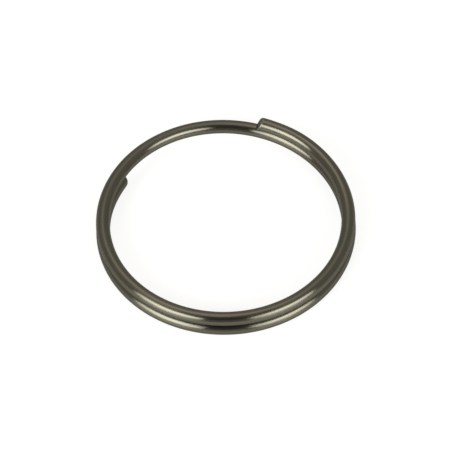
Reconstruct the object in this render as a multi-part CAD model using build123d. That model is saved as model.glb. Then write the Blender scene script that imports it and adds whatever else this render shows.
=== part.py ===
from build123d import *
from math import cos, radians, sin, sqrt, tan
import os

# Driving dimensions, in millimetres and degrees
outer_diameter = 28.0
wire_diameter = 1.5
turn_gap = 0.02
coil_growth = 0.06
upper_end_azimuth = 72.3
end_opening = 75.0
crossover_azimuth = 72.0
crossover_span = 210.0
end_tuck = 0.11
tuck_span = 28.0
cut_slant = 20.0
cut_edge_share = 0.2
arc_span = 60.0

# Sizes worked out from them
full_turn = 360.0
wire_radius = wire_diameter / 2
coil_radius = (outer_diameter - wire_diameter) / 2
wound_angle = 2 * full_turn - end_opening
first_crossover = upper_end_azimuth - crossover_azimuth
cut_edge_radius = cut_edge_share * wire_diameter

# The eased step is at its steepest halfway, 15/8 as steep as a straight one.
# The pitch allows for that slope, so that the turns keep their gap on the crossover too.
steepest_slope = 15 / 8 * wire_diameter / (radians(crossover_span) * coil_radius)
pitch = (wire_diameter + turn_gap) / cos(steepest_slope)

# Each tip is a short length of wire that holds the whole slanted cut and its rounded edge.
tip_length = 2 * wire_radius * tan(radians(cut_slant)) + 2 * cut_edge_radius
tip_angle = tip_length / radians(coil_radius)


def eased(share):
    """Rises from 0 to 1, level at both ends."""
    share = min(max(share, 0.0), 1.0)
    return share**3 * (10 - 15 * share + 6 * share**2)


def drop(turned):
    """How far the wire has come down, one pitch at each crossover of the coil's back."""
    crossovers = [first_crossover + turn * full_turn for turn in range(3)]
    return sum(pitch * eased((turned - middle) / crossover_span + 0.5) for middle in crossovers)


def wire_centre(turned):
    """The middle of the wire, so many degrees on from its upper end."""
    height = wire_radius + drop(wound_angle) - drop(turned)
    radius = coil_radius + coil_growth * (turned / full_turn - 0.5)
    radius -= end_tuck * eased(1 - turned / tuck_span)
    radius -= end_tuck * eased(1 - (wound_angle - turned) / tuck_span)
    azimuth = radians(upper_end_azimuth - turned)
    return Vector(radius * cos(azimuth), radius * sin(azimuth), height)


def wire_direction(turned):
    """The way the wire runs there, towards its lower end."""
    either_way = 0.01
    return (wire_centre(turned + either_way) - wire_centre(turned - either_way)).normalized()


def smooth_arcs(start, end):
    """Two arcs that leave one place and reach the other along the wire, with no kink between."""
    start_point = wire_centre(start)
    end_point = wire_centre(end)
    start_way = wire_direction(start)
    end_way = wire_direction(end)
    chord = end_point - start_point
    along = chord.dot(start_way + end_way)
    bend = 2 * (1 - start_way.dot(end_way))
    reach = (sqrt(along**2 + bend * chord.dot(chord)) - along) / bend
    corner_before = start_point + start_way * reach
    corner_after = end_point - end_way * reach
    middle = (corner_before + corner_after) * 0.5
    first = TangentArc(start_point, middle, tangent=start_way)
    second = TangentArc(middle, end_point, tangent=corner_after - corner_before)
    return [first, second]


def wire_section(turned):
    """The round section of the wire, square to it."""
    return Plane(origin=wire_centre(turned), z_dir=wire_direction(turned)) * Circle(wire_radius)


def coil_arcs():
    """The coil's centre line from tip to tip. Each tuck has a pair of arcs of its own."""
    middle_stretch = wound_angle - 2 * tuck_span
    span_count = max(1, round(middle_stretch / arc_span))
    joints = [tuck_span + middle_stretch * index / span_count for index in range(span_count + 1)]
    joints = [tip_angle] + joints + [wound_angle - tip_angle]
    arcs = []
    for start, end in zip(joints, joints[1:]):
        arcs += smooth_arcs(start, end)
    return arcs


def cut_tip(joint, end, outward):
    """The last of the wire, cut off at a slant with the edge of the cut rounded."""
    past_end = end + (end - joint) / 2
    joint_way = wire_direction(joint) * outward
    arc = TangentArc(wire_centre(joint), wire_centre(past_end), tangent=joint_way)
    uncut_tip = sweep(wire_section(joint), path=arc)
    end_way = wire_direction(end) * outward
    upward = Vector(0, 0, 1)
    upward = (upward - end_way * upward.dot(end_way)).normalized()
    lean = radians(cut_slant) * outward
    cut = Plane(origin=wire_centre(end), z_dir=end_way * cos(lean) - upward * sin(lean))
    tip = split(uncut_tip, bisect_by=cut, keep=Keep.BOTTOM)
    cut_face = tip.faces().sort_by(Axis(cut.origin, cut.z_dir))[-1]
    return fillet(cut_face.edges(), cut_edge_radius)


# The wire's upper cut leans back at its top, and its lower cut at its underside.
upper_tip = cut_tip(tip_angle, 0, -1)
lower_tip = cut_tip(wound_angle - tip_angle, wound_angle, 1)
coil = sweep(wire_section(tip_angle), path=Wire(coil_arcs()))
split_ring = coil + upper_tip + lower_tip
split_ring.label = "split_ring"

os.makedirs("parts", exist_ok=True)
export_step(split_ring, "parts/split_ring.step")
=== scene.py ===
from math import atan2, cos, pi, radians, sin, sqrt, tan

import bmesh
import bpy
from bpy.props import FloatProperty, FloatVectorProperty, IntProperty, PointerProperty
from bpy.types import Operator, Panel, PropertyGroup
from mathutils import Matrix, Vector


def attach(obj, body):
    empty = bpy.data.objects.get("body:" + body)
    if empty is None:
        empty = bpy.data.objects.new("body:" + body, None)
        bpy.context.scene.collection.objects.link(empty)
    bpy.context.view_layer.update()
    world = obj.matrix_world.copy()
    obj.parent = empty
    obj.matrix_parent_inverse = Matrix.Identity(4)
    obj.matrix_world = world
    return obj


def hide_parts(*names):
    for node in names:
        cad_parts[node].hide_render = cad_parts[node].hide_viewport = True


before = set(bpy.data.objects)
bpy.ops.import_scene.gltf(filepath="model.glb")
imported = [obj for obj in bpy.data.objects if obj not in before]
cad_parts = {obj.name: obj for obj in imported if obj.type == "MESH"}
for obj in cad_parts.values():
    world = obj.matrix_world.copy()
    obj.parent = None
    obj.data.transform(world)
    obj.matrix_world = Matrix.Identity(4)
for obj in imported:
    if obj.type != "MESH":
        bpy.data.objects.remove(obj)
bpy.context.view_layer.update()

bl_info = {
    "name": "Split Ring",
    "version": (1, 0, 0),
    "blender": (4, 5, 0),
    "location": "3D View > Sidebar > Split Ring",
    "description": "Winds a split ring of drawn spring wire and sets it in a plain studio",
    "category": "Add Mesh",
}

NODE = "split_ring"
MM = 0.001
FULL_TURN = 2 * pi

# An eased step is at its steepest halfway, and that much steeper than a straight one.
STEEPEST_EASE = 15 / 8

# How many rows of faces round the edge of a cut, and how many the cut's slant fades over
CUT_EDGE_ROWS = 8
SLANT_FADE_ROWS = 10

# Distances from a cut, in radii of its edge, between which its finish fades in
TORN_FADE = (1.5, 0.4)
RUBBED_FADE = (1.1, 0.5)

# Noise keeps near its middle, so these parts of it are stretched to the whole range.
PLATE_NOISE = (0.38, 0.62)
DULLNESS_NOISE = (0.35, 0.65)
TEAR_NOISE = (0.3, 0.7)

# Places in the studio, in degrees seen from the ring: azimuth runs right from the camera's side.
LEFT_SOFTBOX = {"inner_edge": -20, "outer_edge": -74, "bottom": 2, "top": 52}
RIGHT_SOFTBOX = {"inner_edge": 15.7, "outer_edge": 67, "bottom": 5, "top": 48}
FAR_WALL = {"azimuth": 180, "elevation": 20, "reach": 40}
FAR_CEILING = {"azimuth": -162, "elevation": 69, "reach": 30}
CAMERA_SIDE = {"azimuth": -4, "elevation": 50, "reach": 55}

# Share of a softbox's brightness that is lost by its side edges, and by its foot and top
FALLOFF_ACROSS = 0.5
FALLOFF_UPWARDS = 0.95

# From the floor's middle to its sides, in metres
FLOOR_REACH = 1.5


def linear(hex_colour):
    """Turns an sRGB hex value into linear red, green and blue."""
    values = [int(hex_colour[place:place + 2], 16) / 255 for place in (1, 3, 5)]
    return tuple(v / 12.92 if v <= 0.04045 else ((v + 0.055) / 1.055) ** 2.4 for v in values)


def placed(axes, place):
    """The matrix that has these axes for its columns and stands at a place."""
    matrix = Matrix.Identity(4)
    for index, axis in enumerate(axes):
        matrix.col[index][:3] = axis
    matrix.translation = place
    return matrix


def add_object(scene, name, bm):
    """Puts a finished bmesh in the scene as an object of its own."""
    mesh = bpy.data.meshes.new(name)
    bm.to_mesh(mesh)
    bm.free()
    added = bpy.data.objects.new(name, mesh)
    scene.collection.objects.link(added)
    return added


# Sizes and colours that a user would change


class SplitRingShape(PropertyGroup):
    """The wound wire, with the sizes that the solid model has."""

    outer_diameter: FloatProperty(
        name="Outer Diameter", description="Across the coil, over the wire",
        default=28.0 * MM, unit="LENGTH", precision=5)
    wire_diameter: FloatProperty(
        name="Wire Diameter", description="Thickness of the round wire",
        default=1.5 * MM, unit="LENGTH", precision=5)
    turn_gap: FloatProperty(
        name="Turn Gap", description="Clear gap that parts one turn from the next",
        default=0.02 * MM, unit="LENGTH", precision=6)
    coil_growth: FloatProperty(
        name="Coil Growth", description="How much the coil's radius grows in each turn down",
        default=0.06 * MM, unit="LENGTH", precision=6)
    upper_end_azimuth: FloatProperty(
        name="Upper End", description="Where the upper cut stands round the coil",
        default=radians(72.3), subtype="ANGLE", unit="ROTATION")
    end_opening: FloatProperty(
        name="End Opening", description="Stretch between the two cuts where only one strand lies",
        default=radians(75.0), subtype="ANGLE", unit="ROTATION")
    crossover_azimuth: FloatProperty(
        name="Crossover", description="Where the middle of the crossover lies round the coil",
        default=radians(72.0), subtype="ANGLE", unit="ROTATION")
    crossover_span: FloatProperty(
        name="Crossover Span", description="Stretch over which the wire comes down one pitch",
        default=radians(210.0), subtype="ANGLE", unit="ROTATION")
    end_tuck: FloatProperty(
        name="End Tuck", description="How far each end is tucked in towards the axis",
        default=0.11 * MM, unit="LENGTH", precision=6)
    tuck_span: FloatProperty(
        name="Tuck Span", description="Stretch of wire that the tuck takes up",
        default=radians(28.0), subtype="ANGLE", unit="ROTATION")
    cut_slant: FloatProperty(
        name="Cut Slant", description="How far each cut leans from square",
        default=radians(20.0), subtype="ANGLE", unit="ROTATION")
    cut_edge_radius: FloatProperty(
        name="Cut Edge Radius", description="Rounding of the cut's edge",
        default=0.3 * MM, unit="LENGTH", precision=5)
    sides: IntProperty(
        name="Sides", description="Faces round the wire", default=64, min=16)
    step: FloatProperty(
        name="Step", description="Stretch of the coil that one row of faces covers",
        default=radians(1.5), subtype="ANGLE", unit="ROTATION")


class SplitRingFinish(PropertyGroup):
    """Colours and marks of the metal."""

    plate_colour: FloatVectorProperty(
        name="Plate", description="Black nickel plate where it is thickest",
        default=linear("#605F54"), size=3, subtype="COLOR", min=0, max=1)
    thin_plate_colour: FloatVectorProperty(
        name="Thin Plate", description="Browner plate where it is thin",
        default=linear("#656156"), size=3, subtype="COLOR", min=0, max=1)
    rubbed_colour: FloatVectorProperty(
        name="Rubbed Plate", description="Plate rubbed paler on the edges of the cuts",
        default=linear("#777165"), size=3, subtype="COLOR", min=0, max=1)
    line_width: FloatProperty(
        name="Drawing Line Width",
        description="Across the lines that the die leaves, drawn coarser to show",
        default=0.12 * MM, unit="LENGTH", precision=6)
    line_length: FloatProperty(
        name="Drawing Line Length", description="Along the lines that the die leaves",
        default=9.0 * MM, unit="LENGTH", precision=5)
    line_depth: FloatProperty(
        name="Drawing Line Depth", description="How deep the lines that the die leaves are",
        default=0.014 * MM, unit="LENGTH", precision=6)
    cloud_width: FloatProperty(
        name="Cloud Width", description="Round the wire, across the clouds in the plate",
        default=1.0 * MM, unit="LENGTH", precision=5)
    cloud_length: FloatProperty(
        name="Cloud Length", description="Along the clouds in the plate",
        default=4.0 * MM, unit="LENGTH", precision=5)
    tear_size: FloatProperty(
        name="Tear Size", description="Across the torn grains of the cuts",
        default=0.14 * MM, unit="LENGTH", precision=6)
    tear_depth: FloatProperty(
        name="Tear Depth", description="How deep the torn grains of the cuts are",
        default=0.012 * MM, unit="LENGTH", precision=6)
    bright_roughness: FloatProperty(
        name="Bright Roughness", description="Roughness of the drawn wire where it is brightest",
        default=0.15, subtype="FACTOR", min=0, max=1)
    dull_roughness: FloatProperty(
        name="Dull Roughness", description="Roughness of the drawn wire where it is dullest",
        default=0.21, subtype="FACTOR", min=0, max=1)
    torn_roughness_low: FloatProperty(
        name="Least Torn Roughness", description="Roughness of the cuts where they are least torn",
        default=0.36, subtype="FACTOR", min=0, max=1)
    torn_roughness_high: FloatProperty(
        name="Most Torn Roughness", description="Roughness of the cuts where they are most torn",
        default=0.5, subtype="FACTOR", min=0, max=1)
    spread_across: FloatProperty(
        name="Spread Across", description="How far the lines spread light across the wire alone",
        default=0.95, subtype="FACTOR", min=0, max=1)
    grazing_tint: FloatProperty(
        name="Grazing Tint", description="How bright the plate stays where it is seen aslant",
        default=0.54, subtype="FACTOR", min=0, max=1)
    line_share: FloatProperty(
        name="Line Share",
        description="Share of the drawing lines, beside the clouds, in the mottle",
        default=0.35, subtype="FACTOR", min=0, max=1)
    rubbed_share: FloatProperty(
        name="Rubbed Share", description="How much the edges of the cuts are rubbed",
        default=0.25, subtype="FACTOR", min=0, max=1)


class SplitRingStudio(PropertyGroup):
    """Camera, floor and lights."""

    camera_elevation: FloatProperty(
        name="Camera Elevation", description="How steeply the camera looks down",
        default=radians(52.81), subtype="ANGLE", unit="ROTATION")
    camera_distance: FloatProperty(
        name="Camera Distance",
        description="From the camera to the middle of the floor under the ring",
        default=318.0 * MM, unit="LENGTH", precision=4)
    camera_roll: FloatProperty(
        name="Camera Roll", description="How far the camera is turned clockwise about its view",
        default=radians(2.17), subtype="ANGLE", unit="ROTATION")
    focal_length: FloatProperty(
        name="Focal Length", description="Focal length on the sensor, in millimetres",
        default=233.4, unit="CAMERA")
    sensor_width: FloatProperty(
        name="Sensor Width", description="Width of the camera's sensor, in millimetres",
        default=36.0, unit="CAMERA")
    aim_height: FloatProperty(
        name="Aim Height",
        description="How far above the floor's middle the camera aims, across its view",
        default=0.627 * MM, unit="LENGTH", precision=5)
    lamp_distance: FloatProperty(
        name="Lamp Distance", description="From the ring to each softbox",
        default=600.0 * MM, unit="LENGTH", precision=3)
    left_radiance: FloatProperty(
        name="Left Softbox",
        description="Brightness of the left softbox's middle, where white is 1", default=7.6)
    right_radiance: FloatProperty(
        name="Right Softbox",
        description="Brightness of the right softbox's middle, where white is 1", default=6.75)
    room_level: FloatProperty(
        name="Room",
        description="Brightness of the room's walls, where white is 1", default=0.51)
    far_wall_level: FloatProperty(
        name="Far Wall",
        description="Brightness of the far wall, where white is 1", default=0.68)
    far_ceiling_level: FloatProperty(
        name="Far Ceiling",
        description="Brightness of the ceiling's far end, where white is 1", default=1.8)
    camera_side_level: FloatProperty(
        name="Camera Side",
        description="Brightness round the camera, where white is 1", default=0.1)
    floor_white: FloatProperty(
        name="Floor White", description="Share of plain white in the floor as the eye sees it",
        default=0.74, subtype="FACTOR", min=0, max=1)
    mirrored_white: FloatProperty(
        name="Mirrored White",
        description="Share of plain white in the floor as the metal mirrors it",
        default=0.18, subtype="FACTOR", min=0, max=1)
    white_level: FloatProperty(
        name="White Level", description="Brightness of the floor's plain white, where white is 1",
        default=1.1)
    card_roughness: FloatProperty(
        name="Card Roughness", description="Roughness of the satin white card",
        default=0.33, subtype="FACTOR", min=0, max=1)
    room_colour: FloatVectorProperty(
        name="Room Colour", description="Warm white walls",
        default=linear("#FFFBF4"), size=3, subtype="COLOR", min=0, max=1)
    ceiling_colour: FloatVectorProperty(
        name="Ceiling Colour", description="Warmer white ceiling",
        default=linear("#FFF8EF"), size=3, subtype="COLOR", min=0, max=1)
    floor_colour: FloatVectorProperty(
        name="Floor", description="White card",
        default=linear("#EDEDEB"), size=3, subtype="COLOR", min=0, max=1)


# The wire


def eased(share):
    """Rises from 0 to 1, level at both ends."""
    share = min(max(share, 0.0), 1.0)
    return share**3 * (10 - 15 * share + 6 * share**2)


class WirePath:
    """The wire's course, told by the angle wound since its upper cut."""

    def __init__(self, shape):
        self.shape = shape
        self.wire_radius = shape.wire_diameter / 2
        self.coil_radius = (shape.outer_diameter - shape.wire_diameter) / 2
        self.wound = 2 * FULL_TURN - shape.end_opening
        self.first_crossover = shape.upper_end_azimuth - shape.crossover_azimuth
        run = shape.crossover_span * self.coil_radius
        steepest = STEEPEST_EASE * shape.wire_diameter / run
        self.pitch = (shape.wire_diameter + shape.turn_gap) / cos(steepest)

    def drop(self, turned):
        """How far the wire has come down."""
        span = self.shape.crossover_span
        middles = [self.first_crossover + turn * FULL_TURN for turn in range(3)]
        return self.pitch * sum(eased((turned - middle) / span + 0.5) for middle in middles)

    def centre(self, turned):
        """The middle of the wire."""
        shape = self.shape
        radius = self.coil_radius + shape.coil_growth * (turned / FULL_TURN - 0.5)
        radius -= shape.end_tuck * eased(1 - turned / shape.tuck_span)
        radius -= shape.end_tuck * eased(1 - (self.wound - turned) / shape.tuck_span)
        azimuth = shape.upper_end_azimuth - turned
        height = self.wire_radius + self.drop(self.wound) - self.drop(turned)
        return Vector((radius * cos(azimuth), radius * sin(azimuth), height))

    def axes(self, turned):
        """Outwards, upwards and onwards along the wire, square to each other."""
        either_way = radians(0.1)
        onward = (self.centre(turned + either_way) - self.centre(turned - either_way)).normalized()
        outward = self.centre(turned)
        outward.z = 0
        outward = (outward - onward * outward.dot(onward)).normalized()
        upward = outward.cross(onward)
        if upward.z < 0:
            upward.negate()
        return outward, upward, onward

    def section(self, turned, radius, lean=0.0):
        """The matrix that lays a unit circle on the wire's section, leant along it at its top."""
        outward, upward, onward = self.axes(turned)
        leant_up = upward + onward * tan(lean)
        return placed((outward * radius, leant_up * radius, onward), self.centre(turned))


def wire_sections(path):
    """Angles wound and their section matrices, from the upper cut's middle to the lower one's."""
    shape = path.shape
    lean = shape.cut_slant
    edge = shape.cut_edge_radius
    radius = path.wire_radius
    tip_length = 2 * radius * tan(lean) + 2 * edge

    # Each row of a tip: how far it is from the cut, its radius and its share of the slant
    tip = []
    for row in range(CUT_EDGE_ROWS + 1):
        turn = row / CUT_EDGE_ROWS * pi / 2
        tip.append((edge * (1 - cos(turn)), radius - edge + edge * sin(turn), 1.0))
    for row in range(1, SLANT_FADE_ROWS + 1):
        share = row / SLANT_FADE_ROWS
        tip.append((edge + (tip_length - edge) * share, radius, 1 - share))

    places = []
    for distance, size, leaning in tip:
        places.append((distance / path.coil_radius, size, lean * leaning))
    start = tip_length / path.coil_radius
    stretch = path.wound - 2 * start
    rows = round(stretch / shape.step)
    for row in range(1, rows):
        places.append((start + stretch * row / rows, radius, 0.0))
    for distance, size, leaning in reversed(tip):
        places.append((path.wound - distance / path.coil_radius, size, lean * leaning))
    return [(turned, path.section(turned, size, leaning)) for turned, size, leaning in places]


def sort_faces(bm):
    """Puts the faces in the order of their points: extruding leaves them in a chance order."""
    bm.verts.index_update()
    count = len(bm.verts)

    def order(face):
        points = [vert.index for vert in face.verts]
        return min(points) * count + max(points)

    bm.faces.sort(key=order)


def wind_wire(path):
    """Carries a circle along the wire by extruding it from one section to the next.

    Each point keeps its place on the straightened wire: on the round section in x and y, and
    along the wire in z.
    """
    bm = bmesh.new()
    place_on_wire = bm.verts.layers.float_vector.new("place_on_wire")
    sections = wire_sections(path)
    circle = bmesh.ops.create_circle(bm, segments=path.shape.sides, radius=1.0)["verts"]
    edges = list(bm.edges)
    along = 0.0
    before = Matrix.Identity(4)
    last_turned = sections[0][0]
    ring = circle
    for index, (turned, matrix) in enumerate(sections):
        if index > 0:
            grown = bmesh.ops.extrude_edge_only(bm, edges=edges)["geom"]
            ring = [item for item in grown if isinstance(item, bmesh.types.BMVert)]
            fresh = set(ring)
            edges = [item for item in grown if isinstance(item, bmesh.types.BMEdge)
                     and item.verts[0] in fresh and item.verts[1] in fresh]
        bmesh.ops.transform(bm, matrix=matrix @ before.inverted(), verts=ring)
        along += (turned - last_turned) * path.coil_radius
        inverse = matrix.inverted()
        for vert in ring:
            local = inverse @ vert.co
            angle = atan2(local.y, local.x)
            across = path.wire_radius * cos(angle)
            upwards = path.wire_radius * sin(angle)
            vert[place_on_wire] = (across, upwards, along)
        before = matrix
        last_turned = turned
    open_edges = [edge for edge in bm.edges if edge.is_boundary]
    bmesh.ops.holes_fill(bm, edges=open_edges, sides=0)
    sort_faces(bm)
    bmesh.ops.recalc_face_normals(bm, faces=bm.faces)
    for face in bm.faces:
        face.smooth = True
    return bm


def add_node(tree, kind, inputs=None, **settings):
    """Adds a node with its settings, and fills its inputs with values or links."""
    node = tree.nodes.new(kind)
    for name, value in settings.items():
        setattr(node, name, value)
    for key, value in (inputs or {}).items():
        if isinstance(value, bpy.types.NodeSocket):
            tree.links.new(value, node.inputs[key])
        else:
            node.inputs[key].default_value = value
    return node


def black_nickel_on_drawn_wire(finish, path):
    """Black nickel plate over drawn spring steel.

    The plate is bright but dark, in slow clouds of olive where it is thick and brown where it is
    thin. The die leaves fine lines along the wire, which spread each highlight across the wire
    and not along it. The sheared ends are plated too, but torn and dull, and rubbed paler on
    their edges.
    """
    material = bpy.data.materials.new("black_nickel_on_drawn_wire")
    material.use_nodes = True
    tree = material.node_tree
    shader = tree.nodes["Principled BSDF"]
    shader.inputs["Metallic"].default_value = 1.0
    tint = finish.grazing_tint
    shader.inputs["Specular Tint"].default_value = (tint, tint, tint, 1.0)
    shader.inputs["Anisotropic"].default_value = finish.spread_across
    # A quarter turn takes the spread from along the coil's turns to across them.
    shader.inputs["Anisotropic Rotation"].default_value = 0.25
    around = add_node(tree, "ShaderNodeTangent", direction_type="RADIAL", axis="Z")
    tree.links.new(around.outputs["Tangent"], shader.inputs["Tangent"])

    # How far a point is from the nearer cut, and how far it is part of the cut
    place = add_node(tree, "ShaderNodeAttribute", attribute_name="place_on_wire").outputs["Vector"]
    along = add_node(tree, "ShaderNodeSeparateXYZ", {"Vector": place}).outputs["Z"]
    length = path.wound * path.coil_radius
    from_lower_cut = add_node(
        tree, "ShaderNodeMath", {0: length, 1: along}, operation="SUBTRACT").outputs[0]
    from_cut = add_node(
        tree, "ShaderNodeMath", {0: along, 1: from_lower_cut}, operation="MINIMUM").outputs[0]
    edge = path.shape.cut_edge_radius
    cut = add_node(
        tree, "ShaderNodeMapRange",
        {"Value": from_cut, "From Min": TORN_FADE[0] * edge, "From Max": TORN_FADE[1] * edge},
        interpolation_type="SMOOTHSTEP").outputs["Result"]
    # The rubbed rim lies between the clean side of the wire and the torn face of the cut.
    rim = add_node(
        tree, "ShaderNodeMapRange",
        {"Value": from_cut, "From Min": RUBBED_FADE[0] * edge,
         "From Max": RUBBED_FADE[1] * edge, "To Max": finish.rubbed_share},
        interpolation_type="SMOOTHSTEP").outputs["Result"]

    # The real lines are 0.02 to 0.05 mm apart, too fine to show here, so they are drawn coarser.
    line_scale = (1 / finish.line_width, 1 / finish.line_width, 1 / finish.line_length)
    line_place = add_node(
        tree, "ShaderNodeMapping", {"Vector": place, "Scale": line_scale}).outputs["Vector"]
    lines = add_node(
        tree, "ShaderNodeTexNoise", {"Vector": line_place, "Scale": 1.0, "Detail": 2.0}).outputs[0]
    cloud_scale = (1 / finish.cloud_width, 1 / finish.cloud_width, 1 / finish.cloud_length)
    cloud_place = add_node(
        tree, "ShaderNodeMapping", {"Vector": place, "Scale": cloud_scale}).outputs["Vector"]
    clouds = add_node(
        tree, "ShaderNodeTexNoise",
        {"Vector": cloud_place, "Scale": 1.0, "Detail": 3.0}).outputs[0]
    solid_place = add_node(tree, "ShaderNodeTexCoord").outputs["Object"]
    tears = add_node(
        tree, "ShaderNodeTexNoise",
        {"Vector": solid_place, "Scale": 1 / finish.tear_size, "Detail": 3.0}).outputs[0]

    # The plate is thin in slow clouds, and a little thinner along each line.
    mottle = add_node(
        tree, "ShaderNodeMix", {0: finish.line_share, 2: clouds, 3: lines}).outputs[0]
    thinness = add_node(
        tree, "ShaderNodeMapRange",
        {"Value": mottle, "From Min": PLATE_NOISE[0],
         "From Max": PLATE_NOISE[1]}).outputs["Result"]
    # A Mix node takes its colours at 6 and 7, and gives its mixed colour at 2.
    thick = (*finish.plate_colour, 1)
    thin = (*finish.thin_plate_colour, 1)
    rubbed = (*finish.rubbed_colour, 1)
    plate = add_node(
        tree, "ShaderNodeMix", {0: thinness, 6: thick, 7: thin}, data_type="RGBA").outputs[2]
    colour = add_node(
        tree, "ShaderNodeMix", {0: rim, 6: plate, 7: rubbed}, data_type="RGBA").outputs[2]
    tree.links.new(colour, shader.inputs["Base Color"])

    drawn_roughness = add_node(
        tree, "ShaderNodeMapRange",
        {"Value": mottle, "From Min": DULLNESS_NOISE[0], "From Max": DULLNESS_NOISE[1],
         "To Min": finish.bright_roughness, "To Max": finish.dull_roughness}).outputs["Result"]
    torn_roughness = add_node(
        tree, "ShaderNodeMapRange",
        {"Value": tears, "From Min": TEAR_NOISE[0], "From Max": TEAR_NOISE[1],
         "To Min": finish.torn_roughness_low,
         "To Max": finish.torn_roughness_high}).outputs["Result"]
    roughness = add_node(
        tree, "ShaderNodeMix", {0: cut, 2: drawn_roughness, 3: torn_roughness}).outputs[0]
    tree.links.new(roughness, shader.inputs["Roughness"])

    line_height = add_node(
        tree, "ShaderNodeMath", {0: lines, 1: finish.line_depth}, operation="MULTIPLY").outputs[0]
    tear_height = add_node(
        tree, "ShaderNodeMath", {0: tears, 1: finish.tear_depth}, operation="MULTIPLY").outputs[0]
    height = add_node(tree, "ShaderNodeMix", {0: cut, 2: line_height, 3: tear_height}).outputs[0]
    bump = add_node(tree, "ShaderNodeBump", {"Height": height, "Distance": 1.0}).outputs["Normal"]
    tree.links.new(bump, shader.inputs["Normal"])
    return material


class SPLITRING_OT_wire(Operator):
    """Wind the wire of the ring and give it its metal"""

    bl_idname = "split_ring.wire"
    bl_label = "Wind Wire"
    bl_options = {"REGISTER", "UNDO"}

    def execute(self, context):
        scene = context.scene
        path = WirePath(scene.split_ring_shape)
        wire = add_object(scene, "wound_wire", wind_wire(path))
        wire.data.materials.append(black_nickel_on_drawn_wire(scene.split_ring_finish, path))
        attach(wire, "root")
        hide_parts(NODE)
        return {"FINISHED"}


def direction(azimuth, elevation):
    """The way to a place so far right of the camera's side and so high, seen from the ring."""
    return Vector((sin(azimuth) * cos(elevation), -cos(azimuth) * cos(elevation), sin(elevation)))


def stand_softbox(scene, name, radiance, distance, inner_edge, outer_edge, bottom, top):
    """An upright softbox, brightest in its middle, between two azimuths and two elevations."""
    azimuth = radians((inner_edge + outer_edge) / 2)
    width = 2 * distance * tan(radians(abs(outer_edge - inner_edge) / 2))
    height = distance * (tan(radians(top)) - tan(radians(bottom)))
    lamp = bpy.data.lights.new(name, "AREA")
    lamp.shape = "RECTANGLE"
    lamp.size = width
    lamp.size_y = height
    lamp.energy = radiance * pi * width * height
    lamp.use_nodes = True
    tree = lamp.node_tree
    # The lamp's own coordinates run from 0 to 1 across its face, so its middle is at a half.
    place = add_node(tree, "ShaderNodeNewGeometry").outputs["Parametric"]
    spread = Vector((sqrt(FALLOFF_ACROSS), sqrt(FALLOFF_UPWARDS), 0))
    out_from_middle = add_node(
        tree, "ShaderNodeVectorMath", {0: place, 1: 2 * spread, 2: -spread},
        operation="MULTIPLY_ADD").outputs["Vector"]
    falloff = add_node(
        tree, "ShaderNodeVectorMath", {0: out_from_middle, 1: out_from_middle},
        operation="DOT_PRODUCT").outputs["Value"]
    strength = add_node(
        tree, "ShaderNodeMath", {0: 1.0, 1: falloff},
        operation="SUBTRACT", use_clamp=True).outputs[0]
    tree.links.new(strength, tree.nodes["Emission"].inputs["Strength"])
    holder = bpy.data.objects.new(name, lamp)
    towards = direction(azimuth, 0)
    middle_height = distance * tan(radians(bottom)) + height / 2
    holder.location = towards * distance + Vector((0, 0, middle_height))
    holder.rotation_euler = towards.to_track_quat("Z", "Y").to_euler()
    scene.collection.objects.link(holder)


def glow(colour, level):
    """A colour at so many times its brightness, for a room that may be brighter than white."""
    return (*(Vector(colour) * level), 1)


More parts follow.
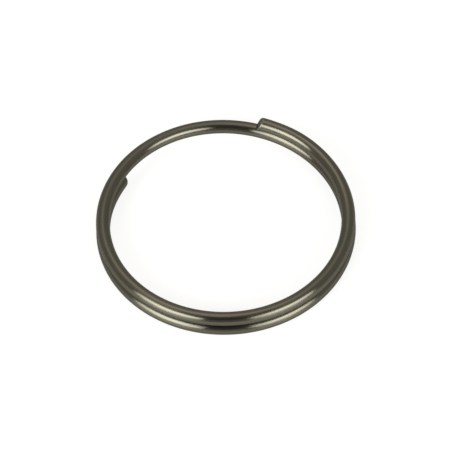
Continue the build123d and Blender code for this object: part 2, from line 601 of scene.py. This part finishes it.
class SPLITRING_OT_studio(Operator):
    """Set up the floor, the room, the two softboxes and the camera"""

    bl_idname = "split_ring.studio"
    bl_label = "Set Up Studio"
    bl_options = {"REGISTER", "UNDO"}

    def execute(self, context):
        scene = context.scene
        studio = scene.split_ring_studio
        self.lay_floor(scene, studio)
        self.light_room(scene, studio)
        distance = studio.lamp_distance
        stand_softbox(scene, "left_softbox", studio.left_radiance, distance, **LEFT_SOFTBOX)
        stand_softbox(scene, "right_softbox", studio.right_radiance, distance, **RIGHT_SOFTBOX)
        self.place_camera(scene, studio)
        return {"FINISHED"}

    def lay_floor(self, scene, studio):
        """A plain white floor under the ring."""
        bm = bmesh.new()
        bmesh.ops.create_grid(bm, x_segments=1, y_segments=1, size=FLOOR_REACH)
        floor = add_object(scene, "floor", bm)
        floor.data.materials.append(self.white_card(studio))

    def white_card(self, studio):
        """Satin white card, whose slight gloss mirrors the softboxes.

        To the eye it is mostly plain white, so that its shadows are faint. The metal sees nearly
        all of the shade that the card has close to the wire.
        """
        material = bpy.data.materials.new("white_card")
        material.use_nodes = True
        tree = material.node_tree
        card = tree.nodes["Principled BSDF"]
        card.inputs["Base Color"].default_value = (*studio.floor_colour, 1)
        card.inputs["Roughness"].default_value = studio.card_roughness
        rays = add_node(tree, "ShaderNodeLightPath").outputs
        mirrored = add_node(
            tree, "ShaderNodeMath", {0: rays["Is Glossy Ray"], 1: rays["Is Transmission Ray"]},
            operation="MAXIMUM").outputs[0]
        mirrored_share = add_node(
            tree, "ShaderNodeMath", {0: mirrored, 1: studio.mirrored_white},
            operation="MULTIPLY").outputs[0]
        share = add_node(
            tree, "ShaderNodeMath",
            {0: rays["Is Camera Ray"], 1: studio.floor_white, 2: mirrored_share},
            operation="MULTIPLY_ADD").outputs[0]
        white = add_node(tree, "ShaderNodeEmission", {"Strength": studio.white_level}).outputs[0]
        mixed = add_node(
            tree, "ShaderNodeMixShader", {0: share, 1: card.outputs[0], 2: white}).outputs[0]
        tree.links.new(mixed, tree.nodes["Material Output"].inputs["Surface"])
        return material

    def light_room(self, scene, studio):
        """A plain room, lighter above its far wall and dim round the camera."""
        world = bpy.data.worlds.new("room")
        world.use_nodes = True
        tree = world.node_tree
        background = tree.nodes["Background"]
        background.inputs["Strength"].default_value = 1.0
        facing = add_node(tree, "ShaderNodeTexCoord").outputs["Generated"]
        colour = glow(studio.room_colour, studio.room_level)
        patches = (
            (FAR_WALL, glow(studio.room_colour, studio.far_wall_level)),
            (FAR_CEILING, glow(studio.ceiling_colour, studio.far_ceiling_level)),
            (CAMERA_SIDE, glow(studio.room_colour, studio.camera_side_level)),
        )
        for patch, patch_colour in patches:
            towards = direction(radians(patch["azimuth"]), radians(patch["elevation"]))
            nearness = add_node(
                tree, "ShaderNodeVectorMath", {0: facing, 1: towards},
                operation="DOT_PRODUCT").outputs["Value"]
            closeness = add_node(
                tree, "ShaderNodeMapRange",
                {"Value": nearness, "From Min": cos(radians(patch["reach"]))}).outputs["Result"]
            # The square lets each patch fade out gently at its edge.
            share = add_node(
                tree, "ShaderNodeMath", {0: closeness, 1: 2.0}, operation="POWER").outputs[0]
            colour = add_node(
                tree, "ShaderNodeMix", {0: share, 6: colour, 7: patch_colour},
                data_type="RGBA").outputs[2]
        tree.links.new(colour, background.inputs["Color"])
        scene.world = world

    def place_camera(self, scene, studio):
        """A camera at the photograph's angle, turned a little about its view."""
        elevation = studio.camera_elevation
        backward = Vector((0, -cos(elevation), sin(elevation)))
        level_right = Vector((1, 0, 0))
        level_up = backward.cross(level_right)
        roll = studio.camera_roll
        right = level_right * cos(roll) - level_up * sin(roll)
        up = level_right * sin(roll) + level_up * cos(roll)
        place = backward * studio.camera_distance
        aim = level_up * studio.aim_height
        view = (place - aim).normalized()
        right = (right - view * right.dot(view)).normalized()
        up = view.cross(right)
        camera = bpy.data.cameras.new("camera")
        camera.lens = studio.focal_length
        camera.sensor_width = studio.sensor_width
        camera.clip_start = 0.01
        camera.clip_end = 20
        holder = bpy.data.objects.new("camera", camera)
        holder.matrix_world = placed((right, up, view), place)
        scene.collection.objects.link(holder)
        scene.camera = holder
        scene.view_settings.view_transform = "Standard"


class SPLITRING_PT_panel(Panel):
    """Lists the sizes, the colours and the steps in the sidebar"""

    bl_idname = "SPLITRING_PT_panel"
    bl_label = "Split Ring"
    bl_space_type = "VIEW_3D"
    bl_region_type = "UI"
    bl_category = "Split Ring"

    def draw(self, context):
        layout = self.layout
        scene = context.scene
        for group in (scene.split_ring_shape, scene.split_ring_finish, scene.split_ring_studio):
            for name in type(group).__annotations__:
                layout.prop(group, name)
        layout.operator(SPLITRING_OT_wire.bl_idname)
        layout.operator(SPLITRING_OT_studio.bl_idname)


CLASSES = (
    SplitRingShape,
    SplitRingFinish,
    SplitRingStudio,
    SPLITRING_OT_wire,
    SPLITRING_OT_studio,
    SPLITRING_PT_panel,
)


def register():
    for each in CLASSES:
        bpy.utils.register_class(each)
    bpy.types.Scene.split_ring_shape = PointerProperty(type=SplitRingShape)
    bpy.types.Scene.split_ring_finish = PointerProperty(type=SplitRingFinish)
    bpy.types.Scene.split_ring_studio = PointerProperty(type=SplitRingStudio)


def unregister():
    del bpy.types.Scene.split_ring_studio
    del bpy.types.Scene.split_ring_finish
    del bpy.types.Scene.split_ring_shape
    for each in reversed(CLASSES):
        bpy.utils.unregister_class(each)


def main():
    register()
    bpy.ops.split_ring.wire()
    bpy.ops.split_ring.studio()


if __name__ == "__main__":
    main()
